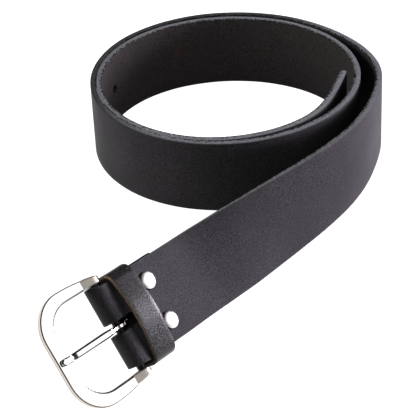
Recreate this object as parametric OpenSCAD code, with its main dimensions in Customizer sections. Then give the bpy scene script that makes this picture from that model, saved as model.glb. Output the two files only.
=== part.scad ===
// Leather belt lying coiled on its edge, two turns and a drawn-out buckle end. Millimetres.
// It stands on the plane z = 0 and the origin is the middle of its footprint.
// Along the strap: T runs from the tip to the buckle, W runs across it and up, N points out of the grain side.

/* [Strap] */
// Width of the strap
strap_w = 40; // [38:0.5:40.5]
// Thickness of the leather
strap_t = 3.5; // [3:0.1:3.6]
// Diameter of the adjusting holes
hole_d = 4.5; // [3.5:0.5:6]
// Number of adjusting holes
hole_count = 5; // [1:1:7]
// Tip to the middle of the first hole
hole_first = 125; // [80:5:150]
// Middle of one hole to the next
hole_pitch = 25; // [20:1:26]
// Leather folded back behind the bar
fold_leg = 39; // [34:1:42]
// Width of the slot that lets the prong out of the fold
slot_w = 6; // [5.5:0.5:8]
// Reach of that slot behind the bar
slot_back = 10; // [6:1:12]

/* [Coil] */
// Mean radius of the coil
coil_r = 65; // [63:0.5:67]
// Air between two layers that lie together
layer_gap = 0.4; // [0.4:0.1:1]

/* [Buckle] */
// Half the width of the frame
frame_half_w = 27.7; // [26.5:0.1:29]
// Bar axis to the front edge of the frame
frame_reach = 38.9; // [36:0.1:42]
// Width of the metal across the front
band_front = 6.2; // [5:0.1:7.5]
// Width of the metal along the sides
band_side = 5.9; // [5:0.1:6]
// Radius of the outer front corners
corner_r = 17; // [12:0.5:19]
// Frame face above the bar axis
face_up = 1.7; // [1.5:0.1:2]
// Frame back below the bar axis
face_down = 1.4; // [1:0.1:1.8]
// Diameter of the bar
bar_d = 4; // [3.6:0.1:4.2]
// Radius of the rounded lug ends
lug_r = 3; // [2.8:0.1:3.2]

/* [Prong] */
// Width at the root
prong_w = 3.6; // [3.5:0.1:4.8]
// Width at the tip
prong_tip_w = 3.2; // [2.6:0.1:3.6]
// Bar axis to the tip
prong_reach = 37.6; // [36.5:0.1:38]
// Radius of the eye round the bar
eye_r = 3.9; // [3.7:0.1:4]

/* [Keeper loop] */
// Width of the loop along the strap
keeper_w = 13.2; // [10:0.1:13.2]
// Thickness of its leather
keeper_t = 1.8; // [1.6:0.1:1.8]
// Bar axis to the near edge of the loop
keeper_at = 4.8; // [4.8:0.1:5]

/* [Rivets] */
// Bar axis to the rivets
rivet_back = 25.9; // [24:0.1:26.5]
// Rivets to each side of the middle
rivet_side = 10.4; // [8:0.1:13]
// Diameter of the domed caps
rivet_cap_d = 9; // [8:0.1:9.4]
// Height of the domed caps
rivet_cap_h = 1.9; // [1.5:0.1:2.2]
// Diameter of the rivet shank
rivet_d = 3.2; // [2.5:0.1:3.6]

/* [Hidden] */
$fn = 64;

black = [0.11, 0.1, 0.11];
black_soft = [0.16, 0.15, 0.16];
nickel = [0.82, 0.81, 0.79];
steel = [0.66, 0.66, 0.67];

// Coil: where its middle is, how the circle is pulled out of round, and how the turns open.
coil_c = [2.7, 76.5];
coil_shift = [1.3, 1.4];
oval = 2;
oval_at = 6;
egg = 0.5;
egg_at = 18;
tip_curl = 4.2;
tip_span = 200;
tip_straight = 35;
spread = 15;
spread_from = 668;
spread_to = 740;
coil_end = 720;
knot_step = 20;

// Drawn-out end: x, y, height of the middle of the strap, and how far it leans back, in degrees.
tail = [
    [79.5, 46.5, 20, 0.5],
    [67, 17, 20.5, 5],
    [46, -8.5, 20.3, 12.5],
    [23, -30.5, 19.2, 21.5],
    [3.5, -49.5, 18.2, 31.5],
];

// Bar axis, and how the strap stands there.
bar = [-52, -111, 21.8];
heading = 232;
rise = 6;
lean = 40;
// The frame hangs a little behind the plane of the strap.
frame_tilt = 4.6;
// Straight stretch in front of the bar, in even steps so that the curve runs into it exactly.
run_in = [62, 46, 30, 14];

slices = 4;
fit = 0.05;
bore_r = bar_d / 2 + fit;
leg_gap = 0.1;
// The fold eases round the bar over this length.
ease = 8;
ease_step = 1;
fold_step = 15;
// The fold is swept a little thick inside, and the bore then gives it its true inner face.
bore_skin = 0.2;

band_step = 7;
lug_up = 0.9;
lug_start = -2.2;
lug_half_w = 24.6;
lug_bulge = 8;
inner_corner_r = 13.5;
edge_cut = 0.4;
bar_seat = 2.5;

keeper_crown = [10.9, 10.4];
keeper_floor = [-6.8, -5.8];
keeper_shoulder = [6.6, 7.4];
keeper_side = [22.4, 23.6];
keeper_radii = [4, 5.5, 70];
staple_d = 0.8;
staple_crown = 9;

// Vector helpers.
function unit(v) = v / norm(v);
function smooth(t) = let(c = min(max(t, 0), 1)) c * c * (3 - 2 * c);
function xyz(p) = [p[0], p[1], p[2]];

// Middle line of the coil, phi degrees from the tip, clockwise from above.
function coil_radius(phi) =
    coil_r + oval * cos(2 * (phi + oval_at)) + egg * cos(3 * (phi + egg_at))
    + (strap_t + layer_gap) * phi / 360
    - tip_curl * pow(max(0, 1 - phi / tip_span), 2)
    + spread * pow(max(0, (phi - spread_from) / (spread_to - spread_from)), 2);
function coil_place(phi) =
    let(r = coil_radius(phi), c = coil_c + coil_shift * smooth((phi - 180) / 360))
    [c[0] + r * cos(phi), c[1] - r * sin(phi), strap_w / 2, 0];
// The tip itself is straight.
function coil_point(phi) =
    phi >= tip_straight ? coil_place(phi)
    : let(a = coil_place(0), b = coil_place(tip_straight)) a + (b - a) * phi / tip_straight;

// Frame of the strap's end: along, across and out of the grain side.
bar_t = [cos(heading) * cos(rise), sin(heading) * cos(rise), sin(rise)];
bar_w = across(bar_t, lean);
bar_n = cross(bar_w, bar_t);
function across(t, a) =
    let(w = unit([0, 0, 1] - t[2] * t), n = cross(w, t))
    w * cos(a) - n * sin(a);

// Control points, and the uniform cubic B-spline through them.
route = concat(
    [for (phi = [-knot_step:knot_step:coil_end]) coil_point(phi)],
    tail,
    [for (s = run_in) let(p = bar + bar_n * strap_t / 2 - bar_t * s) [p[0], p[1], p[2], lean]]
);
function spline(i, t) = (
    pow(1 - t, 3) * route[i] + (3 * t * t * t - 6 * t * t + 4) * route[i + 1]
    + (-3 * t * t * t + 3 * t * t + 3 * t + 1) * route[i + 2] + t * t * t * route[i + 3]
) / 6;
function spline_along(i, t) = unit(xyz(
    -pow(1 - t, 2) * route[i] + (3 * t * t - 4 * t) * route[i + 1]
    + (-3 * t * t + 2 * t + 1) * route[i + 2] + t * t * route[i + 3]
));

// A station is [middle, T, W, N, extra thickness on the flesh side].
function spline_station(i, t) =
    let(p = spline(i, t), along = spline_along(i, t), w = across(along, p[3]))
    [xyz(p), along, w, cross(w, along), 0];
free_run = [
    for (i = [0:len(route) - 4], k = [0:slices - 1]) spline_station(i, k / slices),
    spline_station(len(route) - 4, 1),
];

// Round the bar: distance v before or behind the axis, height z over it, heading a in that plane.
function bar_station(v, z, a, skin) = [
    bar + bar_t * v + bar_n * z,
    bar_t * cos(a) + bar_n * sin(a),
    bar_w,
    bar_n * cos(a) - bar_t * sin(a),
    skin,
];
function eased(v) = bore_r * smooth((ease + v) / ease);
function eased_slope(v) = atan((eased(v + 0.1) - eased(v - 0.1)) / 0.2);
function skin_at(v) = v > -ease / 2 ? bore_skin : 0;
fold_r = bore_r + strap_t / 2;
fold_run = [
    for (v = [-ease:ease_step:-ease_step])
        bar_station(v, strap_t / 2 + eased(v), eased_slope(v), skin_at(v)),
    for (a = [90:-fold_step:-90])
        bar_station(fold_r * cos(a), fold_r * sin(a), a - 90, bore_skin),
    for (v = [-ease_step:-ease_step:-ease])
        bar_station(v, -strap_t / 2 - leg_gap - eased(v), 180 - eased_slope(v), skin_at(v)),
    bar_station(-fold_leg, -strap_t / 2 - leg_gap, 180, 0),
];
stations = concat(free_run, fold_run);

// Length along the middle line from the tip to each station of the free run.
function run_lengths(i = 1, sums = [0]) =
    i == len(free_run) ? sums
    : run_lengths(i + 1, concat(sums, [sums[i - 1] + norm(free_run[i][0] - free_run[i - 1][0])]));
lengths = run_lengths();
function station_at(s) = max([for (i = [0:len(lengths) - 2]) if (lengths[i] <= s) i]);

arc_steps = 8;
// Outline with rounded corners: each corner is [x, y, radius].
function corner_arc(before, c, after) =
    let(
        p = [c[0], c[1]],
        u = unit([before[0], before[1]] - p),
        v = unit([after[0], after[1]] - p),
        half = acos(u * v) / 2,
        middle = p + unit(u + v) * c[2] / sin(half),
        first = p + u * c[2] / tan(half) - middle,
        last = p + v * c[2] / tan(half) - middle,
        turn = 180 - 2 * half
    )
    [
        for (k = [0:arc_steps])
            let(t = k / arc_steps)
            middle + first * sin(turn * (1 - t)) / sin(turn) + last * sin(turn * t) / sin(turn)
    ];
function rounded(corners) = [
    for (i = [0:len(corners) - 1])
        let(n = len(corners))
        each (corners[i][2] == 0
            ? [[corners[i][0], corners[i][1]]]
            : corner_arc(corners[(i + n - 1) % n], corners[i], corners[(i + 1) % n]))
];
// The same outline, moved in by d. The points run anticlockwise.
function inset(pts, d) = [
    for (i = [0:len(pts) - 1])
        let(
            n = len(pts),
            a = unit(pts[i] - pts[(i + n - 1) % n]),
            b = unit(pts[(i + 1) % n] - pts[i]),
            m = unit([-a[1] - b[1], a[0] + b[0]])
        )
        pts[i] + m * d / (m * [-a[1], a[0]])
];
function mirrored(pts) = [for (i = [len(pts) - 1:-1:0]) [pts[i][0], -pts[i][1]]];

// Places: X along the strap to the front of the buckle, Y across and down, Z out of the grain side.
module at_bar() {
    translate(bar) rotate([lean - 90, -rise, heading]) children();
}
module at_frame() {
    at_bar() rotate([0, frame_tilt, 0]) children();
}
module at_station(s) {
    i = station_at(s);
    f = free_run[i];
    p = f[0] + f[1] * (s - lengths[i]);
    multmatrix([
        [f[1][0], f[2][0], -f[3][0], p[0]],
        [f[1][1], f[2][1], -f[3][1], p[1]],
        [f[1][2], f[2][2], -f[3][2], p[2]],
        [0, 0, 0, 1],
    ]) children();
}
module across_bar(r, h) {
    rotate([90, 0, 0]) cylinder(h = h, r = r, center = true);
}

// One strip of leather: the stations joined by a four-cornered section.
module strip() {
    corners = [
        for (f = stations)
            let(up = f[2] * strap_w / 2, out = f[3] * strap_t / 2, in = f[3] * (strap_t / 2 + f[4]))
            each [f[0] + up + out, f[0] - up + out, f[0] - up - in, f[0] + up - in]
    ];
    last = 4 * (len(stations) - 1);
    polyhedron(
        points = corners,
        faces = concat(
            [[0, 2, 1], [0, 3, 2]],
            [
                for (i = [0:len(stations) - 2], k = [0:3])
                    let(a = 4 * i + k, b = 4 * i + (k + 1) % 4)
                    each [[a, b + 4, a + 4], [a, b, b + 4]]
            ],
            [[last, last + 1, last + 2], [last, last + 2, last + 3]]
        ),
        convexity = 8
    );
}

module prong_slot() {
    cut = 8 * fold_r;
    translate([-slot_back + slot_w / 2, 0, 0]) cylinder(h = cut, d = slot_w, center = true);
    translate([-slot_back + slot_w / 2, -slot_w / 2, -cut / 2]) cube([2 * slot_back, slot_w, cut]);
}

module strap() {
    color(black) difference() {
        strip();
        at_bar() {
            across_bar(bore_r, strap_w + 2);
            prong_slot();
            for (side = [-1, 1])
                translate([-rivet_back, side * rivet_side, 0])
                    cylinder(h = 6 * strap_t, d = rivet_d + 2 * fit, center = true);
        }
        for (k = [0:hole_count - 1])
            at_station(hole_first + k * hole_pitch)
                cylinder(h = strap_t + 0.5, d = hole_d, center = true, $fn = 12);
    }
}

// Outer edge of one side of the frame, from the lug to the middle of the front.
function bowed(t, a, b, c) = pow(1 - t, 2) * a + 2 * t * (1 - t) * b + t * t * c;
function frame_half(half_w, reach, r, start_w) = concat(
    [
        for (t = [0:0.125:1])
            bowed(t, [lug_start, start_w], [lug_bulge, half_w], [reach - r, half_w])
    ],
    [for (a = [81:-9:0]) [reach - r + r * cos(a), half_w - r + r * sin(a)]]
);
outer_half = frame_half(frame_half_w, frame_reach, corner_r, lug_half_w);
inner_half = frame_half(
    frame_half_w - band_side, frame_reach - band_front, inner_corner_r, frame_half_w - band_side - 0.2
);
// Both outlines run from one lug round the front to the other, so together they make a horseshoe.
function reversed(pts) = [for (i = [len(pts) - 1:-1:0]) pts[i]];
horseshoe = concat(reversed(concat(outer_half, mirrored(outer_half))), inner_half, mirrored(inner_half));

// A band with its edges cut back by edge_cut on the face and the back.
module band(points, low, high) {
    translate([0, 0, low]) linear_extrude(edge_cut) polygon(inset(points, edge_cut));
    translate([0, 0, low + edge_cut]) linear_extrude(high - low - 2 * edge_cut) polygon(points);
    translate([0, 0, high - edge_cut]) linear_extrude(edge_cut) polygon(inset(points, edge_cut));
}

// Side view of a lug: level with the band at the step, round about the bar at its end.
lug_profile = concat(
    [[band_step + 0.2, -face_down], [band_step + 0.2, lug_up]],
    [for (a = [70:10:280]) [lug_r * cos(a), lug_r * sin(a)]]
);
module lug(side) {
    inner_w = frame_half_w - band_side - 0.1;
    intersection() {
        translate([0, side * (inner_w + lug_bulge / 2), 0])
            rotate([90, 0, 0])
                linear_extrude(lug_bulge, center = true) polygon(lug_profile);
        translate([0, 0, -2 * lug_r]) linear_extrude(4 * lug_r) polygon(lug_plan(side));
    }
}
function lug_plan(side) =
    let(
        out = frame_half_w - 2.2,
        in = frame_half_w - band_side - 0.1,
        pts = rounded([[-lug_r - 1, in, 0], [band_step + 0.4, in, 0], [band_step + 0.4, out + 1.3, 0],
            [0, out - 0.4, 12], [-lug_r - 1, out - 2.1, 0]])
    )
    side > 0 ? pts : mirrored(pts);

module buckle_frame() {
    color(nickel) at_frame() difference() {
        union() {
            intersection() {
                band(horseshoe, -face_down, face_up);
                translate([band_step, -frame_half_w - 1, -face_down - 1])
                    cube([frame_reach, 2 * frame_half_w + 2, face_down + face_up + 2]);
            }
            for (side = [-1, 1]) lug(side);
        }
        across_bar(bar_d / 2, 2 * (frame_half_w - band_side + bar_seat));
    }
}

module hinge_bar() {
    color(steel) at_frame() across_bar(bar_d / 2, 2 * (frame_half_w - band_side + bar_seat));
}

// Side view of the prong: eye, straight arm, knee against the front band, flat tip on top of it.
prong_top = 3.7;
prong_under = 0.6;
tip_under = face_up + 0.1;
knee_at = frame_reach - band_front - 0.8;
prong_profile = rounded([
    [0, prong_under - 2.4, 0], [eye_r - 0.2, prong_under - 1.2, 0], [9, prong_under, 6],
    [knee_at - 1.6, prong_under, 2], [knee_at, tip_under, 1], [prong_reach - 0.6, tip_under, 0],
    [prong_reach, tip_under + 0.7, 0.5], [prong_reach - 0.8, prong_top - 0.3, 1],
    [knee_at + 0.6, prong_top, 0], [knee_at - 0.8, prong_top - 0.5, 0], [knee_at - 2.2, prong_top, 0],
    [14, prong_top, 8], [8, prong_top + 0.35, 2], [4.5, prong_top - 0.4, 2], [0, eye_r - 0.1, 0],
]);
prong_plan = rounded([
    [-eye_r - 0.5, -prong_w / 2, 0], [8, -prong_w / 2, 0], [prong_reach, -prong_tip_w / 2, 1.4],
    [prong_reach, prong_tip_w / 2, 1.4], [8, prong_w / 2, 0], [-eye_r - 0.5, prong_w / 2, 0],
]);
module prong() {
    color(nickel) at_frame() difference() {
        intersection() {
            union() {
                rotate([90, 0, 0]) linear_extrude(prong_w + 2, center = true) polygon(prong_profile);
                across_bar(eye_r, prong_w + 2);
            }
            translate([0, 0, -2 * eye_r]) linear_extrude(4 * eye_r) polygon(prong_plan);
        }
        across_bar(bore_r, prong_w + 4);
    }
}

// Loop section at share k of its width, from the buckle edge to the far edge: arched over the strap.
function keeper_section(k) =
    let(
        top = keeper_crown[0] + (keeper_crown[1] - keeper_crown[0]) * k,
        shoulder = keeper_shoulder[0] + (keeper_shoulder[1] - keeper_shoulder[0]) * k,
        low = keeper_floor[0] + (keeper_floor[1] - keeper_floor[0]) * k
    )
    rounded([
        [keeper_side[0], low, keeper_radii[0]], [keeper_side[1], shoulder, keeper_radii[1]],
        [0, top, keeper_radii[2]], [-keeper_side[1], shoulder, keeper_radii[1]],
        [-keeper_side[0], low, keeper_radii[0]],
    ]);
module keeper_shell() {
    near = keeper_section(0);
    far = keeper_section(1);
    n = len(near);
    x = [-keeper_at, -keeper_at, -keeper_at - keeper_w, -keeper_at - keeper_w];
    loops = [near, inset(near, keeper_t), inset(far, keeper_t), far];
    polyhedron(
        points = [for (j = [0:3], p = loops[j]) [x[j], p[0], p[1]]],
        faces = [
            for (j = [0:3], i = [0:n - 1])
                let(
                    next = (j + 1) % 4,
                    a = j * n + i,
                    b = j * n + (i + 1) % n,
                    c = next * n + i,
                    d = next * n + (i + 1) % n
                )
                each [[a, b, d], [a, d, c]]
        ],
        convexity = 6
    );
}
staple_x = -keeper_at - keeper_w / 2;
staple_z = (keeper_floor[0] + keeper_floor[1]) / 2 - staple_d / 2;
module staple_legs(d) {
    for (side = [-1, 1])
        translate([staple_x, side * (staple_crown - staple_d) / 2, staple_z])
            cylinder(h = keeper_t + staple_d / 2 - 0.1, d = d);
}
module keeper_loop() {
    color(black_soft) at_bar() difference() {
        keeper_shell();
        staple_legs(staple_d + 0.04);
    }
}
module keeper_staple() {
    color(steel) at_bar() {
        translate([staple_x, 0, staple_z]) across_bar(staple_d / 2, staple_crown);
        staple_legs(staple_d);
    }
}

// Double-cap rivet: the post with its back cap, and the front cap that is pressed onto it.
dome_r = (pow(rivet_cap_d / 2, 2) + pow(rivet_cap_h - 0.4, 2)) / (2 * (rivet_cap_h - 0.4));
module dome() {
    cylinder(h = 0.4, d = rivet_cap_d);
    intersection() {
        translate([0, 0, rivet_cap_h - dome_r]) sphere(r = dome_r, $fn = 96);
        translate([0, 0, 0.4]) cylinder(h = rivet_cap_h, d = rivet_cap_d);
    }
}
shank_top = strap_t + rivet_cap_h - 0.8;
module rivet_post(side) {
    color(nickel) at_bar() translate([-rivet_back, side * rivet_side, -strap_t - leg_gap]) {
        mirror([0, 0, 1]) dome();
        cylinder(h = shank_top + strap_t + leg_gap, d = rivet_d);
    }
}
module rivet_cap(side) {
    color(nickel) at_bar() translate([-rivet_back, side * rivet_side, strap_t]) difference() {
        dome();
        translate([0, 0, -1]) cylinder(h = shank_top - strap_t + 1.05, d = rivet_d + 2 * fit);
    }
}
module rivet_post_upper() { rivet_post(-1); }
module rivet_post_lower() { rivet_post(1); }
module rivet_cap_upper() { rivet_cap(-1); }
module rivet_cap_lower() { rivet_cap(1); }

strap();
buckle_frame();
hinge_bar();
prong();
keeper_loop();
keeper_staple();
rivet_post_upper();
rivet_post_lower();
rivet_cap_upper();
rivet_cap_lower();
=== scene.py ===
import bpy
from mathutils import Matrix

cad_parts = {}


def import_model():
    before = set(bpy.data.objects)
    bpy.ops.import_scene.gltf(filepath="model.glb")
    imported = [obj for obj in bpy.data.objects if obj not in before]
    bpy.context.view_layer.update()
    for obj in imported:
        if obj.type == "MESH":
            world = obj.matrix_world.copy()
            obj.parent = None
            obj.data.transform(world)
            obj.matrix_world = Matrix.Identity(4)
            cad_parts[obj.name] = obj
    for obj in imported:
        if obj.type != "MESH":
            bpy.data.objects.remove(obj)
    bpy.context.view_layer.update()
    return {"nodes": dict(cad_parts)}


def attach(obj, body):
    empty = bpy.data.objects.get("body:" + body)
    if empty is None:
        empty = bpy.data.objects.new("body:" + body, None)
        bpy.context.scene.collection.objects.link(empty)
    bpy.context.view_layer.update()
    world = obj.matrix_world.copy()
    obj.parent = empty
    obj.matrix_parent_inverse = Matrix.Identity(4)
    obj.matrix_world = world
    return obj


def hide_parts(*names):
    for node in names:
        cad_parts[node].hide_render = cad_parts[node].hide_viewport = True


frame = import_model()

# The looks of a leather belt that lies coiled on its edge. Lengths are in millimetres until a mesh is made.
# Along the strap: T runs from the tip to the buckle, W runs across it and up, N points out of the grain side.
# At the bar a place is (v, u, z): v forwards along T, u up along W, z out along N.
import math
import random

import bmesh
import bpy
import numpy as np
from mathutils import Matrix, Vector

MM = 0.001  # in metres

# Strap, as in the CAD model, but with the fold and its back leg a little askew.
STRAP_W = 40.0
STRAP_T = 3.5
HOLE_R = 2.25
HOLES = [125, 150, 175, 200, 225]
FOLD_LEG = 39.0
FOLD_LENGTH = 26.0
SLOT_W = 6.0
SLOT_BACK = 10.0
LEG_GAP = 0.1
FOLD_SHIFT, LEG_SHIFT = 1.1, 0.5
EASE = 8.0
BORE_R = 2.05

# How much darker the raw edge is made on the far side of the coil, and where, in degrees from the tip.
EDGE_DARK_SHARE, EDGE_DARK_FROM, EDGE_DARK_TO = 0.75, 470.0, 690.0

# Coil: middle, drift, ovalness, and how the turns open.
COIL_R = 65.0
COIL_C = np.array([2.7, 76.5])
COIL_SHIFT = np.array([1.3, 1.4])
LAYER = STRAP_T + 0.4
OVAL, OVAL_AT = 2.0, 6.0
EGG, EGG_AT = 0.5, 18.0
TIP_CURL, TIP_SPAN, TIP_STRAIGHT = 4.2, 200.0, 35.0
SPREAD, SPREAD_FROM, SPREAD_TO = 15.0, 668.0, 740.0
COIL_END, KNOT_STEP = 720, 20

# Drawn-out end: x, y, height of the middle of the strap, and its lean in degrees.
TAIL = [
    (79.5, 46.5, 20, 0.5),
    (67, 17, 20.5, 5),
    (46, -8.5, 20.3, 12.5),
    (23, -30.5, 19.2, 21.5),
    (3.5, -49.5, 18.2, 31.5),
]
BAR = np.array([-52.0, -111.0, 21.8])
BUCKLE = (-0.066, -0.13, 0.022)  # its middle, in metres
HEADING, RISE, LEAN, FRAME_TILT = 232.0, 6.0, 40.0, 4.6
RUN_IN = [62, 46, 30, 14]
SLICES = 12
LATHE_STEPS = 64

# Buckle frame.
HALF_W, REACH = 27.7, 38.9
BAND_FRONT, BAND_SIDE = 6.2, 5.9
CORNER_R, INNER_CORNER_R = 17.0, 13.5
FACE_UP, FACE_DOWN = 1.7, -1.4
LUG_R, LUG_UP, LUG_START = 3.5, 0.9, -2.2
BAND_STEP = 7.1
LUG_ROUND_TO = 1.2
ROUND_STATIONS = 9

# Prong.
PRONG_REACH, EYE_R = 37.0, 3.9

# Keeper: u and z of its corners at the buckle edge and at the far edge.
KEEPER_AT, KEEPER_W, KEEPER_T = 4.8, 13.2, 1.8
KEEPER_CROWN = (10.9, 10.4)
KEEPER_FLOOR = (-6.8, -5.8)
KEEPER_SHOULDER = (6.6, 7.4)
KEEPER_SIDE = (22.4, 23.6)
KEEPER_RADII = (4.0, 5.5, 70.0)
KEEPER_SEAM = 0.12
STAPLE_D, STAPLE_CROWN = 0.8, 9.0

# Rivets.
RIVET_BACK, RIVET_SIDE = 25.9, 10.4
RIVET_R, RIVET_H, SHANK_R = 4.5, 1.9, 1.6
DOME_BANDS = 16

random.seed(7)


# ---------------------------------------------------------------- the strap's middle line

def unit(v):
    return v / np.linalg.norm(v)


def smooth(t):
    c = min(max(t, 0.0), 1.0)
    return c * c * (3 - 2 * c)


def cosd(a):
    return math.cos(math.radians(a))


def sind(a):
    return math.sin(math.radians(a))


def across(t, lean):
    """Direction across the strap where it runs along t and leans back by lean degrees."""
    w = unit(np.array([0, 0, 1.0]) - t[2] * t)
    return w * cosd(lean) - np.cross(w, t) * sind(lean)


BAR_T = np.array([cosd(HEADING) * cosd(RISE), sind(HEADING) * cosd(RISE), sind(RISE)])
BAR_W = across(BAR_T, LEAN)
BAR_N = np.cross(BAR_W, BAR_T)


def coil_point(phi):
    """Control point of the coil, phi degrees from the tip: x, y, height, lean. The tip itself is straight."""
    if phi >= TIP_STRAIGHT:
        return coil_place(phi)
    a, b = np.array(coil_place(0)), np.array(coil_place(TIP_STRAIGHT))
    return tuple(a + (b - a) * phi / TIP_STRAIGHT)


def coil_place(phi):
    r = COIL_R + OVAL * cosd(2 * (phi + OVAL_AT)) + EGG * cosd(3 * (phi + EGG_AT))
    r += LAYER * phi / 360 - TIP_CURL * max(0, 1 - phi / TIP_SPAN) ** 2
    r += SPREAD * max(0, (phi - SPREAD_FROM) / (SPREAD_TO - SPREAD_FROM)) ** 2
    c = COIL_C + COIL_SHIFT * smooth((phi - 180) / 360)
    return (c[0] + r * cosd(phi), c[1] - r * sind(phi), STRAP_W / 2, 0)


def control_points():
    points = [coil_point(phi) for phi in range(-KNOT_STEP, COIL_END + 1, KNOT_STEP)] + TAIL
    points += [(*(BAR + BAR_N * STRAP_T / 2 - BAR_T * s), LEAN) for s in RUN_IN]
    return np.array(points, float)


def free_run(slices):
    """Stations (middle, T, W, N) of the uniform cubic B-spline from the tip to the straight run-in."""
    points = control_points()
    stations = []
    for i in range(len(points) - 3):
        for k in range(slices + (i == len(points) - 4)):
            t = k / slices
            value = [(1 - t) ** 3, 3 * t**3 - 6 * t**2 + 4, -3 * t**3 + 3 * t**2 + 3 * t + 1, t**3]
            value = np.array(value) / 6
            slope = np.array([-((1 - t) ** 2), 3 * t * t - 4 * t, -3 * t * t + 2 * t + 1, t * t])
            p = value @ points[i : i + 4]
            along = unit((slope @ points[i : i + 4])[:3])
            w = across(along, p[3])
            stations.append((p[:3], along, w, np.cross(w, along)))
    return stations


def bar_station(v, z, a):
    """Station in the plane across the bar, running at a degrees from T towards N."""
    along = BAR_T * cosd(a) + BAR_N * sind(a)
    return (BAR + BAR_T * v + BAR_N * z, along, BAR_W, BAR_N * cosd(a) - BAR_T * sind(a))


def eased(v):
    return BORE_R * smooth((EASE + v) / EASE)


def ease_slope(v):
    return math.degrees(math.atan((eased(v + 0.1) - eased(v - 0.1)) / 0.2))


def fold_run():
    """The fold: up over the bar, round it and back along the underside."""
    half = STRAP_T / 2
    r = BORE_R + half
    ease = np.arange(-EASE, 0, 0.5)
    run = [bar_station(v, half, 0) for v in np.arange(-29, -EASE, 1.5)]
    run += [bar_station(v, half + eased(v), ease_slope(v)) for v in ease]
    run += [bar_station(r * cosd(a), r * sind(a), a - 90) for a in range(90, -91, -6)]
    run += [bar_station(v, -half - LEG_GAP - eased(v), 180 - ease_slope(v)) for v in ease[::-1]]
    run += [bar_station(v, -half - LEG_GAP, 180) for v in np.arange(-EASE - 1, -FOLD_LEG - 0.1, -1.5)]
    return run


def lengths(stations):
    steps = [np.linalg.norm(b[0] - a[0]) for a, b in zip(stations, stations[1:])]
    return np.concatenate([[0], np.cumsum(steps)])


def at_bar(v, u, z):
    return BAR + BAR_T * v + BAR_W * u + BAR_N * z


def at_frame(v, u, z):
    """A place in the buckle's own plane, which hangs a little behind the strap's."""
    c, s = cosd(FRAME_TILT), sind(FRAME_TILT)
    return at_bar(v * c + z * s, u, z * c - v * s)


# ---------------------------------------------------------------- mesh helpers

def make_object(name, verts, faces, materials, face_slots=None, smooth_angle=35):
    mesh = bpy.data.meshes.new(name)
    mesh.from_pydata([Vector(v) * MM for v in verts], [], faces)
    for material in materials:
        mesh.materials.append(material)
    if face_slots is not None:
        mesh.polygons.foreach_set("material_index", face_slots)
    mesh.polygons.foreach_set("use_smooth", [True] * len(mesh.polygons))
    mesh.validate()
    mesh.set_sharp_from_angle(angle=math.radians(smooth_angle))
    obj = bpy.data.objects.new(name, mesh)
    bpy.context.scene.collection.objects.link(obj)
    return obj


def set_values(obj, name, values):
    attribute = obj.data.attributes.new(name, "FLOAT", "POINT")
    attribute.data.foreach_set("value", np.array(values, np.float32))


def set_depth(obj, depth, edge_dark=None):
    """Stores each vertex's depth under the grain, in millimetres, and how far the cut edge is darkened there.
    """
    set_values(obj, "depth", depth)
    set_values(obj, "edge_dark", edge_dark or [0.0] * len(depth))


def loft(rings, closed=False):
    """Vertices and faces joining equal rings one after another. Open lofts get their end faces."""
    n = len(rings[0])
    verts = [p for ring in rings for p in ring]
    faces = []
    for j in range(len(rings) - (not closed)):
        a, b = j * n, (j + 1) % len(rings) * n
        faces += [(a + k, a + (k + 1) % n, b + (k + 1) % n, b + k) for k in range(n)]
    if not closed:
        faces += [tuple(range(n - 1, -1, -1)), tuple(range((len(rings) - 1) * n, len(rings) * n))]
    return verts, faces


def rounded_section(half_a, low, high, radii, steps=4, face_steps=1):
    """Points (a, b, side) round a section from -half_a to half_a and low to high.

    radii are at (+a high), (-a high), (-a low), (+a low). side tells what the stretch after the point is:
    0 the high face, 1 the -a edge, 2 the low face, 3 the +a edge, and 4 to 7 the corners in that order."""
    corners = [(half_a, high, 0), (-half_a, high, 90), (-half_a, low, 180), (half_a, low, 270)]
    points = []
    for side, ((a, b, start), r) in enumerate(zip(corners, radii)):
        ca, cb = a - math.copysign(r, a), b - (r if b == high else -r)
        turns = [start + 90 * k / steps for k in range(steps + 1)]
        arc = [(ca + r * cosd(turn), cb + r * sind(turn)) for turn in turns]
        points += [(x, y, side + 4 if k < steps else side) for k, (x, y) in enumerate(arc)]
        nxt, r2 = corners[(side + 1) % 4], radii[(side + 1) % 4]
        if side % 2 == 0 and face_steps > 1:
            x0, x1 = arc[-1][0], nxt[0] - math.copysign(r2, nxt[0])
            points += [(x0 + (x1 - x0) * k / face_steps, b, side) for k in range(1, face_steps)]
    return points


def weighted_normals(obj):
    modifier = obj.modifiers.new("normals", "WEIGHTED_NORMAL")
    modifier.keep_sharp = True
    modifier.weight = 80


def apply_boolean(obj, cutter):
    """Cuts the cutter away; the new faces take the cutter's material slot."""
    modifier = obj.modifiers.new("cut", "BOOLEAN")
    modifier.operation = "DIFFERENCE"
    modifier.solver = "MANIFOLD"
    modifier.material_mode = "INDEX"
    modifier.object = cutter
    graph = bpy.context.evaluated_depsgraph_get()
    made = bpy.data.meshes.new_from_object(obj.evaluated_get(graph), depsgraph=graph)
    obj.modifiers.remove(modifier)
    old = obj.data
    obj.data = made
    bpy.data.meshes.remove(old)
    bpy.data.objects.remove(cutter)
    made.set_sharp_from_angle(angle=math.radians(35))


def lathe(profile, place, steps=LATHE_STEPS):
    """Turns (r, z) points round the z axis of place(x, y, z)."""
    rings = []
    for r, z in profile:
        rings.append([place(r * cosd(360 * k / steps), r * sind(360 * k / steps), z) for k in range(steps)])
    return loft(rings)


def finish_piece(obj, body, slot, *nodes):
    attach(obj, body)
    if nodes:
        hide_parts(*nodes)
    return obj


# ---------------------------------------------------------------- materials

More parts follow.
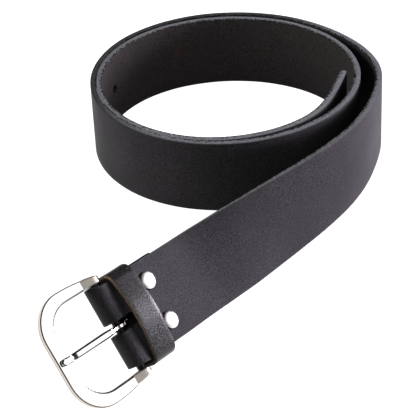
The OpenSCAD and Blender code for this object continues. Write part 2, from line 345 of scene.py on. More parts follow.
class Shader:
    """A Principled material that is built up node by node. Texture scales are per metre of the object."""

    def __init__(self, name, **sockets):
        self.material = bpy.data.materials.new(name)
        self.material.use_nodes = True
        self.tree = self.material.node_tree
        self.surface = self.tree.nodes["Principled BSDF"]
        for key, value in sockets.items():
            self.surface.inputs[key.replace("_", " ")].default_value = value
        self.place = self.add("TexCoord")["Object"]

    def add(self, kind, inputs=(), **settings):
        node = self.tree.nodes.new("ShaderNode" + kind)
        for key, value in settings.items():
            setattr(node, key, value)
        for key, value in dict(inputs).items():
            if isinstance(value, bpy.types.NodeSocket):
                self.tree.links.new(value, node.inputs[key])
            else:
                node.inputs[key].default_value = value
        return node.outputs

    def noise(self, scale, detail=3.0, roughness=0.55, stretch=None):
        return self.add("TexNoise", {
            "Vector": self.stretched(stretch), "Scale": scale, "Detail": detail, "Roughness": roughness,
        })[0]

    def cells(self, scale):
        return self.add("TexVoronoi", {"Vector": self.place, "Scale": scale})["Distance"]

    def stretched(self, stretch):
        if stretch is None:
            return self.place
        return self.add("Mapping", {"Vector": self.place, "Scale": stretch})[0]

    def math(self, operation, a, b=0.0):
        return self.add("Math", {0: a, 1: b}, operation=operation)[0]

    def span(self, value, from_low, from_high, to_low=0.0, to_high=1.0):
        return self.add("MapRange", {
            "Value": value, "From Min": from_low, "From Max": from_high,
            "To Min": to_low, "To Max": to_high,
        })[0]

    def mix(self, share, a, b, blend="MIX"):
        return self.add("Mix", {0: share, 6: a, 7: b}, data_type="RGBA", blend_type=blend)[2]

    def stored(self, name):
        return self.add("Attribute", attribute_name=name)["Fac"]

    def bump(self, height, distance, strength):
        return self.add("Bump", {"Height": height, "Distance": distance, "Strength": strength})[0]

    def connect(self, **sockets):
        for key, value in sockets.items():
            self.tree.links.new(value, self.surface.inputs[key.replace("_", " ")])
        return self.material


def scaled(tint, factor):
    """A tint made lighter or darker, as a colour for a node."""
    return (*[factor * c for c in tint], 1)


def grain_leather(name, tint, roughness, gloss, relief):
    """Dyed full grain: fine pebbling and pores, a soft sheen, faint scuffs and a few pale specks."""
    s = Shader(name, Specular_IOR_Level=gloss)
    pebbles = s.noise(1500, 4, 0.6)
    pores = s.cells(2600)
    fine = s.noise(4200, 3)
    cloud = s.noise(38, 4)
    scuffs = s.noise(420, 5, 0.65, (1, 1, 0.35))
    colour = s.mix(s.span(pebbles, 0.34, 0.66), scaled(tint, 0.4), scaled(tint, 1.75))
    colour = s.mix(s.span(cloud, 0.35, 0.65, 0, 0.5), colour, scaled(tint, 0.8))
    colour = s.mix(s.span(scuffs, 0.62, 0.8, 0, 0.4), colour, scaled(tint, 2.6))
    specks = s.math("MULTIPLY", s.span(s.cells(210), 0.055, 0.02), s.span(s.noise(90), 0.56, 0.6))
    colour = s.mix(s.math("MULTIPLY", specks, 0.6), colour, (0.2, 0.17, 0.13, 1))
    rough = s.span(cloud, 0.3, 0.7, roughness - 0.04, roughness + 0.04)
    rough = s.math("ADD", rough, s.span(pebbles, 0.35, 0.65, -0.09, 0.09))
    height = s.math("ADD", pebbles, s.math("MULTIPLY", pores, 0.3))
    height = s.math("ADD", height, s.math("MULTIPLY", fine, 0.25))
    return s.connect(Base_Color=colour, Roughness=rough, Normal=s.bump(height, relief, 0.8))


def flesh_leather(name, tint):
    """The rough underside: short matted fibres, dyed through."""
    s = Shader(name, Specular_IOR_Level=0.06, Roughness=0.95)
    mat = s.noise(1000, 5, 0.75)
    hairs = s.noise(2600, 4, 0.7, (0.5, 0.5, 2))
    cloud = s.noise(45, 4)
    colour = s.mix(s.span(mat, 0.36, 0.64), scaled(tint, 0.45), scaled(tint, 1.7))
    colour = s.mix(s.span(cloud, 0.4, 0.7, 0, 0.5), colour, scaled(tint, 1))
    red = s.math("MULTIPLY", s.span(s.noise(60, 2), 0.62, 0.75), 0.35)
    colour = s.mix(red, colour, (0.03, 0.012, 0.012, 1))
    height = s.math("ADD", mat, s.math("MULTIPLY", hairs, 0.6))
    return s.connect(Base_Color=colour, Normal=s.bump(height, 0.00025, 0.8))


def cut_leather(name, face, core, thickness, rough_edge):
    """A raw cut edge: packed fibres, a dyed line at the grain and a ragged border at the flesh side."""
    s = Shader(name, Specular_IOR_Level=0.1, Roughness=0.9)
    depth = s.stored("depth")
    fibres = s.noise(1100, 5, 0.75)
    mottle = s.noise(420, 4, 0.6)
    ragged = s.span(s.noise(750, 3, 0.6), 0.35, 0.65, -rough_edge, rough_edge)
    border = s.math("ADD", depth, ragged)
    body = s.mix(s.span(fibres, 0.36, 0.64), scaled(face, 0.45), scaled(face, 1.5))
    body = s.mix(s.span(mottle, 0.5, 0.72, 0, 0.5), body, scaled(face, 0.5))
    inner = thickness - 0.5 * rough_edge
    colour = s.mix(s.span(border, inner - 0.2, inner), body, scaled(core, 1))
    colour = s.mix(s.span(depth, 0.45, 0.15, 0, 0.8), colour, scaled(face, 0.3))
    # Darkens the cut towards the core colour on the far side of the coil, by the stored value.
    colour = s.mix(s.stored("edge_dark"), colour, scaled(core, 1))
    height = s.math("ADD", fibres, mottle)
    return s.connect(Base_Color=colour, Normal=s.bump(height, 0.0003, 0.8))


def fibre_leather(name, tint):
    """Loose fibres of the raw edge, from nearly black to the undyed tan."""
    s = Shader(name, Specular_IOR_Level=0.1, Roughness=0.9)
    shade = s.noise(500, 3)
    colour = s.mix(s.span(shade, 0.35, 0.65), scaled(tint, 0.35), scaled(tint, 1.5))
    return s.connect(Base_Color=colour)


def plated(name, tint, low, high, hairs=(0.08, 1, 0.5)):
    """Metal with faint handling scratches. low and high bound its roughness."""
    s = Shader(name, Metallic=1.0)
    cloud = s.noise(120, 3)
    hair = s.noise(1500, 3, 0.6, hairs)
    colour = s.mix(s.span(cloud, 0.3, 0.7), scaled(tint, 0.94), scaled(tint, 1))
    rough = s.span(s.math("ADD", cloud, s.math("MULTIPLY", hair, 0.6)), 0.5, 1.1, low, high)
    return s.connect(Base_Color=colour, Roughness=rough, Normal=s.bump(hair, 0.00001, 0.2))


BLACK = (0.0236, 0.022, 0.0236)
UNDYED = (0.0128, 0.0115, 0.0112)
grain = grain_leather("strap_grain", BLACK, 0.5, 0.025, 0.00014)
# The fold's creased grain is matte; its darker tint is painted shade under the keeper.
crease_painted_shade = grain_leather("strap_crease_painted_shade", [0.75 * c for c in BLACK], 0.6, 0.12, 0.0004)
flesh = flesh_leather("strap_flesh", UNDYED)
cut = cut_leather("strap_cut_edge", (0.092, 0.094, 0.1), [0.3 * c for c in UNDYED], STRAP_T, 1.2)
keeper_grain = grain_leather("keeper_grain", [0.36 * c for c in BLACK], 0.3, 0.3, 0.00005)
keeper_cut = cut_leather("keeper_cut_edge", (0.2, 0.15, 0.11), (0.02, 0.016, 0.013), KEEPER_T, 0.4)
nickel = plated("nickel_polished", (0.93, 0.92, 0.9), 0.05, 0.14)
# The lug's nickel is rougher; its beige tint is a painted reflection of darker surroundings.
nickel_lug_painted_reflection = plated("nickel_lug_painted_reflection", (0.84, 0.77, 0.69), 0.36, 0.46)
# Darker nickel for the frame's walls: painted dark reflection.
nickel_wall_painted_reflection = plated("nickel_wall_painted_reflection", (0.6, 0.55, 0.49), 0.14, 0.24)
# Near-black nickel for the lug's round end: painted shade between lug and keeper.
nickel_end_painted_shade = plated("nickel_lug_end_painted_shade", (0.15, 0.14, 0.13), 0.6, 0.7)
# Near-black steel for the hinge bar: painted shade of the fold round it.
bar_steel = plated("bar_steel", (0.035, 0.03, 0.028), 0.35, 0.45, hairs=(1, 1, 0.2))
# Near-black nickel for the prong's knee: painted shade in the groove.
prong_knee_painted_shade = plated("prong_knee_painted_shade", (0.07, 0.065, 0.065), 0.2, 0.3)
# Dark nickel for the frame's rims: painted dark reflection lines along the edges.
nickel_rim_painted_reflection = plated("nickel_rim_outer_painted_reflection", (0.16, 0.12, 0.1), 0.2, 0.3)
nickel_inner_painted_reflection = plated("nickel_rim_inner_painted_reflection", (0.3, 0.28, 0.27), 0.2, 0.3)
prong_nickel = plated("prong_nickel", (0.88, 0.87, 0.86), 0.06, 0.15)
# Dark nickel for the prong's sides and bevels: painted dark reflection.
prong_shade = plated("prong_bevel_painted_reflection", (0.22, 0.2, 0.2), 0.12, 0.22)
rivet_nickel = plated("rivet_nickel", (0.94, 0.93, 0.92), 0.34, 0.44)
# Dark nickel for the rivets' rolled rims: a painted contact shadow round the caps.
rivet_rim_painted_shadow = plated("rivet_rim_painted_shadow", (0.14, 0.12, 0.12), 0.2, 0.3)
fibre_dark = fibre_leather("fibre_dark", (0.07, 0.066, 0.066))
fibre_tan = fibre_leather("fibre_tan", (0.1, 0.075, 0.055))
wire_steel = plated("wire_steel", (0.2, 0.18, 0.17), 0.28, 0.4, hairs=(1, 1, 0.2))


# ---------------------------------------------------------------- strap

def strap():
    stations = free_run(SLICES)[:-1] + fold_run()
    run = lengths(stations)
    fold_end = run[-1] - FOLD_LEG + 6
    half, edge_r = STRAP_T / 2, 0.38
    section = rounded_section(STRAP_W / 2, -half, half, (edge_r, edge_r, 0.25, 0.25), face_steps=10)
    # Material of each side of the section: 0 grain, 1 flesh, 2 cut edge, 3 creased grain, matte, with painted
    # shade darkening it under the keeper.
    edge_slots = {0: 0, 1: 2, 2: 1, 3: 2, 4: 2, 5: 2, 6: 2, 7: 2}
    leg_slots = {0: 0, 1: 1, 2: 1, 3: 1, 4: 1, 5: 1, 6: 1, 7: 1}
    fold_slots = edge_slots | {0: 3, 4: 3, 5: 3}
    rings, depth, edge_dark, slots = [], [], [], []
    for i, ((p, along, w, n), s) in enumerate(zip(stations, run)):
        phi = KNOT_STEP * i / SLICES
        # The raw edge is made darker on the far side of the coil.
        edge_darkened = EDGE_DARK_SHARE * smooth((phi - EDGE_DARK_FROM) / 60) * smooth((EDGE_DARK_TO - phi) / 40)
        wander = 0.05 * math.sin(s / 17) + 0.03 * math.sin(s / 5.3 + 1)
        shift = FOLD_SHIFT * smooth((s - fold_end + 22) / 10)
        shift += (LEG_SHIFT - FOLD_SHIFT) * smooth((s - fold_end - 2) / 9)
        ring = []
        for a, b, side in section:
            trim = wander if abs(a) > STRAP_W / 2 - 1 else 0
            ring.append(p + w * (a + math.copysign(trim, a) + shift) + n * b)
        rings.append(ring)
        depth += [half - b for a, b, side in section]
        edge_dark += [edge_darkened] * len(section)
        slot_of = leg_slots if s > fold_end else fold_slots if s > fold_end - FOLD_LENGTH else edge_slots
        slots += [slot_of[side] for a, b, side in section]
    verts, faces = loft(rings)
    slots = slots[: -len(section)] + [2, 2]
    obj = make_object("strap_leather", verts, faces, [grain, flesh, cut, crease_painted_shade], slots)
    turned_out(obj)
    set_depth(obj, depth, edge_dark)
    apply_boolean(obj, strap_cutter(stations, run))
    strap_fibres(stations, run, fold_end)
    return finish_piece(obj, "strap_body", "strap_leather", "strap")


def strap_fibres(stations, run, fold_end):
    """Fibres along the flesh border of the cut edges and the tip."""
    roots = []
    for s in np.arange(0.5, fold_end - 12, 0.45):
        i = int(np.searchsorted(run, s + random.uniform(-0.2, 0.2)))
        p, along, w, n = stations[min(i, len(stations) - 1)]
        place = p + along * random.uniform(-0.5, 0.5) - n * (STRAP_T / 2 - 0.15)
        out = -n * random.uniform(0.2, 0.9) + along * random.uniform(-1.2, 1.2)
        if random.random() < 0.3:
            top = place + w * (STRAP_W / 2 - random.uniform(0.1, 0.4))
            roots.append((top, unit(out + w * random.uniform(0.3, 1.1)), random.uniform(0.2, 0.55)))
        if random.random() < 0.3:
            low = place - w * (STRAP_W / 2 - random.uniform(0.3, 0.8))
            roots.append((low, unit(out), random.uniform(0.15, 0.3)))
    p, along, w, n = stations[0]
    for u in np.arange(-19, 19.5, 0.5):
        place = p + w * u + n * random.uniform(-1.7, 0.6) + along * 0.1
        out = -along + n * random.uniform(-0.6, 0.2) + w * random.uniform(-0.8, 0.8)
        roots.append((place, unit(out), random.uniform(0.2, 0.6)))
    fibres("strap_edge_fibres", "strap_body", "strap_leather", fibre_dark, roots)


def fibres(name, body, slot, material, roots):
    """Tapered fibres. A root is (place, direction, length)."""
    verts, faces = [], []
    for place, direction, length in roots:
        side = unit(np.cross(direction, [0.31, 0.52, 0.8]))
        other = np.cross(direction, side)
        start = len(verts)
        wide = 0.07 + 0.1 * length
        bend = side * random.uniform(-0.3, 0.3) * length
        for share, size in ((0, wide), (0.55, wide * 0.7)):
            middle = place + direction * length * share + bend * share * share
            verts += [middle + (side * cosd(a) + other * sind(a)) * size for a in (0, 120, 240)]
        verts.append(place + direction * length + bend)
        for k in range(3):
            m = (k + 1) % 3
            faces.append((start + k, start + m, start + 3 + m, start + 3 + k))
            faces.append((start + 3 + k, start + 3 + m, start + 6))
        faces.append((start + 2, start + 1, start))
    obj = make_object(name, verts, faces, [material])
    return finish_piece(obj, body, slot)


def strap_cutter(stations, run):
    """Adjusting holes with softened rims, the prong's slot and the rivet holes, as one cutter."""
    verts, faces, depth = [], [], []

    def join(more_verts, more_faces, more_depth):
        start = len(verts)
        verts.extend(more_verts)
        faces.extend(tuple(start + i for i in f) for f in more_faces)
        depth.extend(more_depth)

    half = STRAP_T / 2
    rim = [(HOLE_R + 0.45, half + 0.2), (HOLE_R + 0.22, half - 0.05), (HOLE_R, half - 0.35)]
    profile = rim + [(r, -z) for r, z in rim[::-1]]
    for s in HOLES:
        p, along, w, n = stations[int(np.searchsorted(run, s))]
        more = lathe(profile, lambda x, y, z: p + along * x + w * y + n * z, 32)
        join(*more, [half - z for r, z in profile for k in range(32)])
    for side in (-1, 1):
        shaft = [(SHANK_R + 0.05, 8), (SHANK_R + 0.05, -8)]
        more = lathe(shaft, lambda x, y, z: at_bar(x - RIVET_BACK, y + side * RIVET_SIDE, z), 24)
        join(*more, [half] * 48)
    outline = [(-SLOT_BACK + SLOT_W / 2 * (1 - sind(a)), SLOT_W / 2 * cosd(a)) for a in range(0, 181, 15)]
    outline += [(9, -SLOT_W / 2), (9, SLOT_W / 2)]
    more = loft([[at_bar(v, u, z) for v, u in outline] for z in (9, -9)])
    join(*more, [half] * (2 * len(outline)))
    cutter = make_object("strap_cutter", verts, faces, [grain, flesh, cut, crease_painted_shade], [1] * len(faces))
    set_depth(cutter, depth)
    turned_out(cutter)
    return cutter


def turned_out(obj):
    """Makes the faces point outwards."""
    bm = bmesh.new()
    bm.from_mesh(obj.data)
    bmesh.ops.recalc_face_normals(bm, faces=bm.faces)
    bm.to_mesh(obj.data)
    bm.free()


# ---------------------------------------------------------------- keeper

def corner_arc(before, corner, after, r, steps):
    """Points of the arc of radius r that rounds a corner between its two neighbours."""
    p = np.array(corner, float)
    u, v = unit(np.array(before) - p), unit(np.array(after) - p)
    half = math.acos(u @ v) / 2
    middle = p + unit(u + v) * r / math.sin(half)
    first, last = p + u * r / math.tan(half) - middle, p + v * r / math.tan(half) - middle
    turn = math.pi - 2 * half
    weights = [(math.sin(turn * (1 - k / steps)), math.sin(turn * k / steps)) for k in range(steps + 1)]
    return [middle + (first * a + last * b) / math.sin(turn) for a, b in weights]


def keeper_outline(share):
    """Outer outline (u, z) of the loop at a share of its width, from the seam at the back round to it."""
    edges = (KEEPER_CROWN, KEEPER_FLOOR, KEEPER_SHOULDER)
    top, low, shoulder = (a + (b - a) * share for a, b in edges)
    foot, side = KEEPER_SIDE
    corners = [(foot, low), (side, shoulder), (0, top), (-side, shoulder), (-foot, low)]
    radii = [*KEEPER_RADII, *KEEPER_RADII[1::-1]]
    arcs = [[np.array([KEEPER_SEAM, low])]]
    for i, (corner, r) in enumerate(zip(corners, radii)):
        arcs.append(corner_arc(corners[i - 1], corner, corners[(i + 1) % len(corners)], r, 12))
    arcs.append([np.array([-KEEPER_SEAM, low])])
    points = list(arcs[0])
    for before, after in zip(arcs, arcs[1:]):
        a, b = before[-1], after[0]
        points += [a + (b - a) * k / 12 for k in range(1, 12)] + list(after)
    return points


def keeper():
    near, far = keeper_outline(0), keeper_outline(1)
    count = len(near)
    section = rounded_section(KEEPER_W / 2, 0, KEEPER_T, (0.3, 0.3, 0.2, 0.2), face_steps=6)
    rings, depth = [], []
    for i in range(count):
        ring = []
        for a, b, side in section:
            share = 0.5 - a / KEEPER_W
            back, p, ahead = (
                near[k] + (far[k] - near[k]) * share for k in (max(i - 1, 0), i, min(i + 1, count - 1))
            )
            step = unit(ahead - back)
            inward = np.array([-step[1], step[0]])
            q = p + inward * (KEEPER_T - b)
            ring.append(at_bar(-KEEPER_AT - KEEPER_W / 2 + a, q[0], q[1]))
        rings.append(ring)
        depth += [KEEPER_T - b for a, b, side in section]
    verts, faces = loft(rings)
    # Material of each side of the section: 0 grain, 1 flesh, 2 cut edge.
    slot_of_side = {0: 0, 1: 2, 2: 1, 3: 2, 4: 2, 5: 2, 6: 2, 7: 2}
    slots = [slot_of_side[side] for a, b, side in section] * (len(rings) - 1) + [2, 2]
    obj = make_object("keeper_leather", verts, faces, [keeper_grain, flesh, keeper_cut], slots)
    turned_out(obj)
    set_depth(obj, depth)
    keeper_fibres(rings, len(section))
    return finish_piece(obj, "keeper", "keeper_leather", "keeper_loop")


def keeper_fibres(rings, count):
    """Fibres round both raw edges of the loop, longest on the flesh side of the near one."""
    roots = []
    middle = np.mean([p for ring in rings for p in ring], axis=0)
    for ring in rings:
        for forward, corner, amount in ((1, -1, 3), (-1, 3 * count // 4, 1)):
            for _ in range(amount):
                edge = ring[corner]
                inward = middle - edge
                inward = unit(inward - BAR_T * (inward @ BAR_T))
                place = edge + BAR_W * random.uniform(-0.5, 0.5) + BAR_N * random.uniform(-0.3, 0.3)
                out = BAR_T * forward * random.uniform(0.1, 0.8) + inward * random.uniform(0.3, 1.2)
                out = unit(out + BAR_W * random.uniform(-0.5, 0.5))
                roots.append((place, out, random.uniform(0.25, 0.9)))
    fibres("keeper_edge_fibres", "keeper", "keeper_leather", fibre_tan, roots)


def staple():
    """Flat-crowned wire staple across the keeper's seam."""
    z = (KEEPER_FLOOR[0] + KEEPER_FLOOR[1]) / 2 - STAPLE_D / 2
    x = -KEEPER_AT - KEEPER_W / 2
    half, bend, leg = (STAPLE_CROWN - STAPLE_D) / 2, 0.9, KEEPER_T + STAPLE_D / 2 - 0.1
    path = [(half, z + leg), (half, z + bend)]
    path += [(half - bend + bend * cosd(a), z + bend + bend * sind(a)) for a in range(-15, -91, -15)]
    path += [(-u, w) for u, w in path[::-1]]
    rings = []
    for i, (u, w) in enumerate(path):
        a, b = np.array(path[max(i - 1, 0)]), np.array(path[min(i + 1, len(path) - 1)])
        step = unit(b - a)
        side = np.array([-step[1], step[0]])
        ring = []
        for k in range(12):
            off = side * 0.5 * STAPLE_D * cosd(30 * k)
            ring.append(at_bar(x + 0.5 * STAPLE_D * sind(30 * k), u + off[0], w + off[1]))
        rings.append(ring)
    obj = make_object("keeper_staple_wire", *loft(rings), [wire_steel])
    turned_out(obj)
    return finish_piece(obj, "keeper", "staple_steel", "keeper_staple")


# ---------------------------------------------------------------- buckle

def bowed(t, a, b, c):
    return (1 - t) ** 2 * np.array(a) + 2 * t * (1 - t) * np.array(b) + t * t * np.array(c)


def side_curve(half_w, reach, r, start_w):
    """(v, u) along the side of an outline, from the lug to where the front corner starts."""
    ends = (LUG_START, start_w), (8, half_w), (reach - r, half_w)
    return np.array([bowed(t, *ends) for t in np.linspace(0, 1, 60)])


def width_at(curve, v):
    return float(np.interp(v, curve[:, 0], curve[:, 1]))


def lug_heights(v):
    """Back and face of a lug: round about the bar, then sloping to the band."""
    round_z = math.sqrt(max(LUG_R**2 - v * v, 0))
    share = (v - LUG_ROUND_TO) / (BAND_STEP - LUG_ROUND_TO)
    if share < 0:
        return -round_z, round_z
    start = math.sqrt(LUG_R**2 - LUG_ROUND_TO**2)
    return -start + (FACE_DOWN + start) * share, start + (LUG_UP - start) * share


def frame_half():
    """Stations from the lug's end to the front's middle: inner and outer point, back, face, edge radius."""
    outer = side_curve(HALF_W, REACH, CORNER_R, 24.6)
    inner = side_curve(HALF_W - BAND_SIDE, REACH - BAND_FRONT, INNER_CORNER_R, HALF_W - BAND_SIDE - 0.2)
    stations = []
    round_end = [-LUG_R * cosd(a) for a in (3, 10, 18, 26, 34, 42, 50, 58, 66, 74, 82)]
    for v in round_end + [0, 0.6, LUG_ROUND_TO, 2, 3, 4, 5, 6, 6.8, BAND_STEP]:
        low, top = lug_heights(v)
        blend = smooth((v - 4) / 3)
        out = (25.5 + 0.27 * v - 0.012 * v * v) * (1 - blend) + width_at(outer, v) * blend
        stations.append(((v, HALF_W - BAND_SIDE - 0.1), (v, out), low, top, 0.75))
    for share in np.linspace(0, 1, 16):
        vo = BAND_STEP + 0.22 + (REACH - CORNER_R - BAND_STEP - 0.22) * share
        vi = BAND_STEP + 0.22 + (REACH - BAND_FRONT - INNER_CORNER_R - BAND_STEP - 0.22) * share
        stations.append(((vi, width_at(inner, vi)), (vo, width_at(outer, vo)), FACE_DOWN, FACE_UP, 0.5))
    oc = (REACH - CORNER_R, HALF_W - CORNER_R)
    ic = (REACH - BAND_FRONT - INNER_CORNER_R, HALF_W - BAND_SIDE - INNER_CORNER_R)
    for a in range(86, -1, -4):
        o = (oc[0] + CORNER_R * cosd(a), oc[1] + CORNER_R * sind(a))
        i = (ic[0] + INNER_CORNER_R * cosd(a), ic[1] + INNER_CORNER_R * sind(a))
        stations.append((i, o, FACE_DOWN, FACE_UP, 0.5))
    for share in (0.75, 0.5, 0.25, 0):
        i, o = (REACH - BAND_FRONT, ic[1] * share), (REACH, oc[1] * share)
        stations.append((i, o, FACE_DOWN, FACE_UP, 0.5))
    return stations


def buckle_frame():
    half = frame_half()
    mirrored = [((i[0], -i[1]), (o[0], -o[1]), low, top, r) for i, o, low, top, r in half[-2::-1]]
    rings = []
    for inner, outer, low, top, r in half + mirrored:
        inner, outer = np.array(inner), np.array(outer)
        w = np.linalg.norm(outer - inner)
        r = min(r, (top - low) * 0.42, w * 0.42)
        radii = (r, r * 2, r, r * 2.4) if r < 0.55 else (r, r, r, r)
        middle, d = (inner + outer) / 2, (outer - inner) / w
        ring = []
        for a, b, side in rounded_section(w / 2, low, top, radii, steps=5):
            q = middle + d * a
            ring.append(at_frame(q[0], q[1], b))
        rings.append(ring)
    verts, faces = loft(rings)
    lug_stations = sum(1 for s in half if s[4] > 0.6)
    sides = [side for a, b, side in rounded_section(6, -1, 1, (0.5,) * 4, steps=5)]
    # Materials: 0 polished face and back, 1 lug with a painted reflection tint, 2 wall in painted dark
    # reflection,
    # 3 outer rim and step to the lug, 4 inner rim, both painted dark reflection lines, 5 round end of a lug
    # in painted shade.
    band_slots = {0: 0, 1: 2, 2: 0, 3: 2, 4: 3, 5: 4, 6: 2, 7: 3}
    slots = []
    for j in range(len(rings) - 1):
        from_lug = min(j, len(rings) - 2 - j)
        if from_lug < ROUND_STATIONS:
            slots += [5] * len(sides)
        elif from_lug < lug_stations - 1:
            slots += [1] * len(sides)
        elif from_lug == lug_stations - 1:
            slots += [3] * len(sides)
        else:
            slots += [band_slots[side] for side in sides]
    materials = [nickel, nickel_lug_painted_reflection, nickel_wall_painted_reflection, nickel_rim_painted_reflection, nickel_inner_painted_reflection, nickel_end_painted_shade]
    obj = make_object("buckle_frame_plated", verts, faces, materials, slots + [5, 5], 40)
    turned_out(obj)
    weighted_normals(obj)
    return finish_piece(obj, "buckle", "frame_nickel", "buckle_frame")


# Height of the prong's top and of its underside, and half its width, along v.
PRONG_TOP = [(4.5, 3.3), (6.2, 3.75), (8, 4.0), (10, 3.85), (14, 3.7), (29.2, 3.7), (29.9, 3.5), (30.5, 3.2),
             (31.3, 3.2), (32.0, 3.62), (32.8, 3.7), (36.7, 3.68), (36.9, 3.6), (37.0, 3.3)]
PRONG_LOW = [(3.7, -0.6), (6, 0.05), (9, 0.5), (11, 0.6), (29.6, 0.6), (30.6, 0.85), (31.9, 1.75),
             (32.5, 1.82), (36.7, 1.82), (37.0, 2.1)]
PRONG_HALF = [(-4, 1.15), (4, 1.2), (7, 1.5), (10, 1.75), (37.0, 1.55)]


def prong():
    """The prong: eye, bevelled arm, waist at the knee and a flat tip on the band."""
    tops, lows = np.array(PRONG_TOP), np.array(PRONG_LOW)
    arc = [-EYE_R * cosd(a) for a in range(4, 90, 7)]
    places = arc + [0, 0.8, 1.6, 2.4, 3.2, 3.8, 4.5, 5.4, 6.4, 7.2, 8, 9, 10, 12, 14, 18, 22, 26]
    places += [28.4, 29.2, 29.9, 30.3, 30.7, 31.1, 31.6, 32.1, 32.6, 33.5, 34.8, 35.6]
    places += [36.0, 36.3, 36.55, 36.75, 36.9, PRONG_REACH]
    rings = []
    for v in places:
        round_z = math.sqrt(max(EYE_R**2 - v * v, 0))
        top = round_z if v < 2.6 else float(np.interp(v, [2.6, *tops[:, 0]], [2.9, *tops[:, 1]]))
        low = -round_z if v < 2.6 else float(np.interp(v, [2.6, *lows[:, 0]], [-2.6, *lows[:, 1]]))
        half = float(np.interp(v, *np.array(PRONG_HALF).T))
        half -= 0.28 * math.exp(-(((v - 30.8) / 0.7) ** 2))
        if v > PRONG_REACH - 1.4:
            half = PRONG_HALF[-1][1] - 1.4 + math.sqrt(max(1.4**2 - (v - PRONG_REACH + 1.4) ** 2, 0.02))
        chamfer = min(0.95, 0.4 * half, 0.45 * (top - low)) * (1 - 0.45 * smooth((v - 30) / 3)) + 0.1
        chamfer *= 1 - 0.75 * smooth((v - 35.2) / 0.8)
        soft = min(0.5, 0.3 * (top - low), 0.4 * half)
        outline = [(half, low + soft), (half, top - chamfer), (half - chamfer * 0.12, top - chamfer * 0.8),
                   (half - chamfer * 0.9, top - chamfer * 0.08), (half - chamfer * 1.05, top)]
        outline = outline + [(-u, z) for u, z in outline[::-1]]
        outline += [(-half + soft * 0.3, low + soft * 0.3), (-half + soft, low)]
        outline += [(half - soft, low), (half - soft * 0.3, low + soft * 0.3)]
        rings.append([at_frame(v, u, z) for u, z in outline])
    verts, faces = loft(rings)
    # Materials: 0 polished top and underside, 1 sides and bevels in painted dark reflection, 2 the knee in
    # painted shade.
    slots = []
    for v in places[:-1]:
        knee = 29.0 < v < 31.2
        slots += [2 if knee else 1 if k in (0, 1, 2, 6, 7, 8, 9) else 0 for k in range(len(rings[0]))]
    materials = [prong_nickel, prong_shade, prong_knee_painted_shade]
    obj = make_object("prong_plated", verts, faces, materials, slots + [1, 0], 32)
    turned_out(obj)
    bore = [(BORE_R + 0.02, 6), (BORE_R + 0.02, -6)]
    hole = lathe(bore, lambda x, y, z: at_frame(x, z, y), 48)
    cutter = make_object("prong_cutter", *hole, [prong_nickel])
    turned_out(cutter)
    apply_boolean(obj, cutter)
    weighted_normals(obj)
    return finish_piece(obj, "prong", "prong_nickel", "prong")


# ---------------------------------------------------------------- rivets

def dome_profile():
    """(r, z) of a domed cap from its middle to its rolled rim and back under it."""
    rim, shoulder = RIVET_R, 0.55
    crown = RIVET_H - shoulder
    profile = []
    for r in np.linspace(0, rim - 0.12, 18):
        profile.append((max(r, 0.02), shoulder + crown * math.sqrt(1 - (r / rim) ** 3.2)))
    profile += [(rim - 0.04, 0.48), (rim, 0.33), (rim - 0.04, 0.16), (rim - 0.16, 0.04), (rim - 0.4, 0.01)]
    return profile


def rivet(side, label):
    u = side * RIVET_SIDE
    profile = dome_profile()
    underside = [(SHANK_R + 0.1, 0.01)]
    front = lathe(profile + underside, lambda x, y, z: at_bar(x - RIVET_BACK, y + u, STRAP_T + z))
    dome_faces = LATHE_STEPS * DOME_BANDS
    # Slot 1, the rolled rim and underside, carries a painted contact shadow.
    slots = [0 if k < dome_faces else 1 for k in range(len(front[1]))]
    cap = make_object("rivet_cap_" + label + "_dome", *front, [rivet_nickel, rivet_rim_painted_shadow], slots, 50)
    turned_out(cap)
    finish_piece(cap, "strap_body", "rivet_nickel", "rivet_cap_" + label)
    back = -STRAP_T - LEG_GAP
    shank = [(SHANK_R, 0.01), (SHANK_R, -2 * STRAP_T - LEG_GAP + 0.2)]
    post = lathe(profile + shank, lambda x, y, z: at_bar(x - RIVET_BACK, y + u, back - z))
    obj = make_object("rivet_post_" + label + "_shank", *post, [rivet_nickel], None, 50)
    turned_out(obj)
    finish_piece(obj, "strap_body", "rivet_nickel", "rivet_post_" + label)


# ---------------------------------------------------------------- stage

def floor():
    s = Shader("floor_white", Roughness=0.9, Specular_IOR_Level=0.0, Emission_Strength=0.93)
    s.surface.inputs["Emission Color"].default_value = (1, 1, 1, 1)
    colour = s.mix(s.noise(3, 3), (0.3, 0.3, 0.3, 1), (0.32, 0.32, 0.32, 1))
    s.connect(Base_Color=colour)
    size = 20000
    corners = [(-size, -size, -0.05), (size, -size, -0.05), (size, size, -0.05), (-size, size, -0.05)]
    obj = make_object("floor", corners, [(0, 1, 2, 3)], [s.material])
    obj.visible_diffuse = False


def softbox(name, direction, distance, width, height, radiance, tint=(1, 1, 1), glossy=True, aim=(0, 0, 0)):
    """An area light that shines on the belt from a direction with a given brightness."""
    back = Vector(direction).normalized()
    light = bpy.data.lights.new(name, "AREA")
    light.shape = "RECTANGLE"
    light.size, light.size_y = width, height
    light.energy = radiance * math.pi * width * height
    light.color = tint
    obj = bpy.data.objects.new(name, light)
    obj.location = Vector(aim) + back * distance
    obj.rotation_euler = back.to_track_quat("Z", "Y").to_euler()
    obj.visible_camera = False
    obj.visible_glossy = glossy
    bpy.context.scene.collection.objects.link(obj)


def world(strength):
    w = bpy.data.worlds.new("studio")
    w.use_nodes = True
    background = w.node_tree.nodes["Background"]
    background.inputs["Color"].default_value = (1, 1, 1, 1)
    background.inputs["Strength"].default_value = strength
    bpy.context.scene.world = w


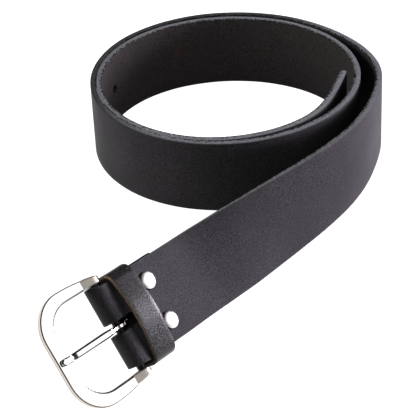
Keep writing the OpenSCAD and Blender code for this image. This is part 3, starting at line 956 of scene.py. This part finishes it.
def camera():
    """Looks down at the belt from the front. Angles are in radians; aim and distance in millimetres."""
    down, roll, distance = 0.6, -0.046, 899.6
    aim = np.array([-9.1, 10.0, 0])
    forward = np.array([0, math.cos(down), -math.sin(down)])
    right, up = np.array([1.0, 0, 0]), np.array([0, math.sin(down), math.cos(down)])
    r = math.cos(roll) * right + math.sin(roll) * up
    u = -math.sin(roll) * right + math.cos(roll) * up
    data = bpy.data.cameras.new("camera")
    data.sensor_width = 36
    data.lens = 152.26
    data.shift_x, data.shift_y = -0.0015, 0.0051
    data.clip_start, data.clip_end = 0.05, 100
    obj = bpy.data.objects.new("camera", data)
    place = Matrix([[*r, 0], [*u, 0], [*-forward, 0], [0, 0, 0, 1]]).transposed()
    place.translation = Vector((aim - forward * distance) * MM)
    obj.matrix_world = place
    bpy.context.scene.collection.objects.link(obj)
    bpy.context.scene.camera = obj


camera()
strap()
keeper()
staple()
buckle_frame()
prong()
for side, label in ((1, "upper"), (-1, "lower")):
    rivet(side, label)
# The hinge bar's steel is darkened with painted shade.
bar = frame["nodes"]["hinge_bar"]
bar.data.materials.clear()
bar.data.materials.append(bar_steel)
floor()
world(0.09)
softbox("right_key", (0.93, 0.26, 0.12), 1.5, 1.6, 0.3, 64.0, (1.0, 0.94, 1.08), glossy=False)
softbox("left_key", (-1.0, 0.0, 0.25), 1.5, 1.2, 1.2, 9.2, (1.0, 0.98, 1.0), glossy=False)
softbox("front_fill", (0.0, -0.7, 0.7), 1.8, 1.2, 1.2, 0.8, glossy=False)
softbox("floor_bounce", (0.0, 0.0, 1.0), 0.06, 0.08, 0.08, 3.2, glossy=False, aim=(0.003, 0.077, 0.0))
softbox("face_card", (0.9, 0.09, 0.42), 1.5, 0.8, 0.8, 1.3, aim=BUCKLE)
softbox("lug_card", (0.7, -0.38, 0.6), 1.5, 0.5, 0.6, 1.7, aim=BUCKLE)
softbox("sheen_card", (0.9, 0.365, 0.2), 1.5, 0.3, 0.3, 55.0, (1.0, 0.95, 1.08), aim=BUCKLE)
softbox("top_box", (-0.1, 0.5, 1.0), 1.6, 1.6, 1.2, 1.4, glossy=False)
softbox("left_box", (-1.0, -0.1, 0.5), 1.6, 1.0, 1.0, 1.0)
bpy.context.scene.view_settings.view_transform = "Standard"
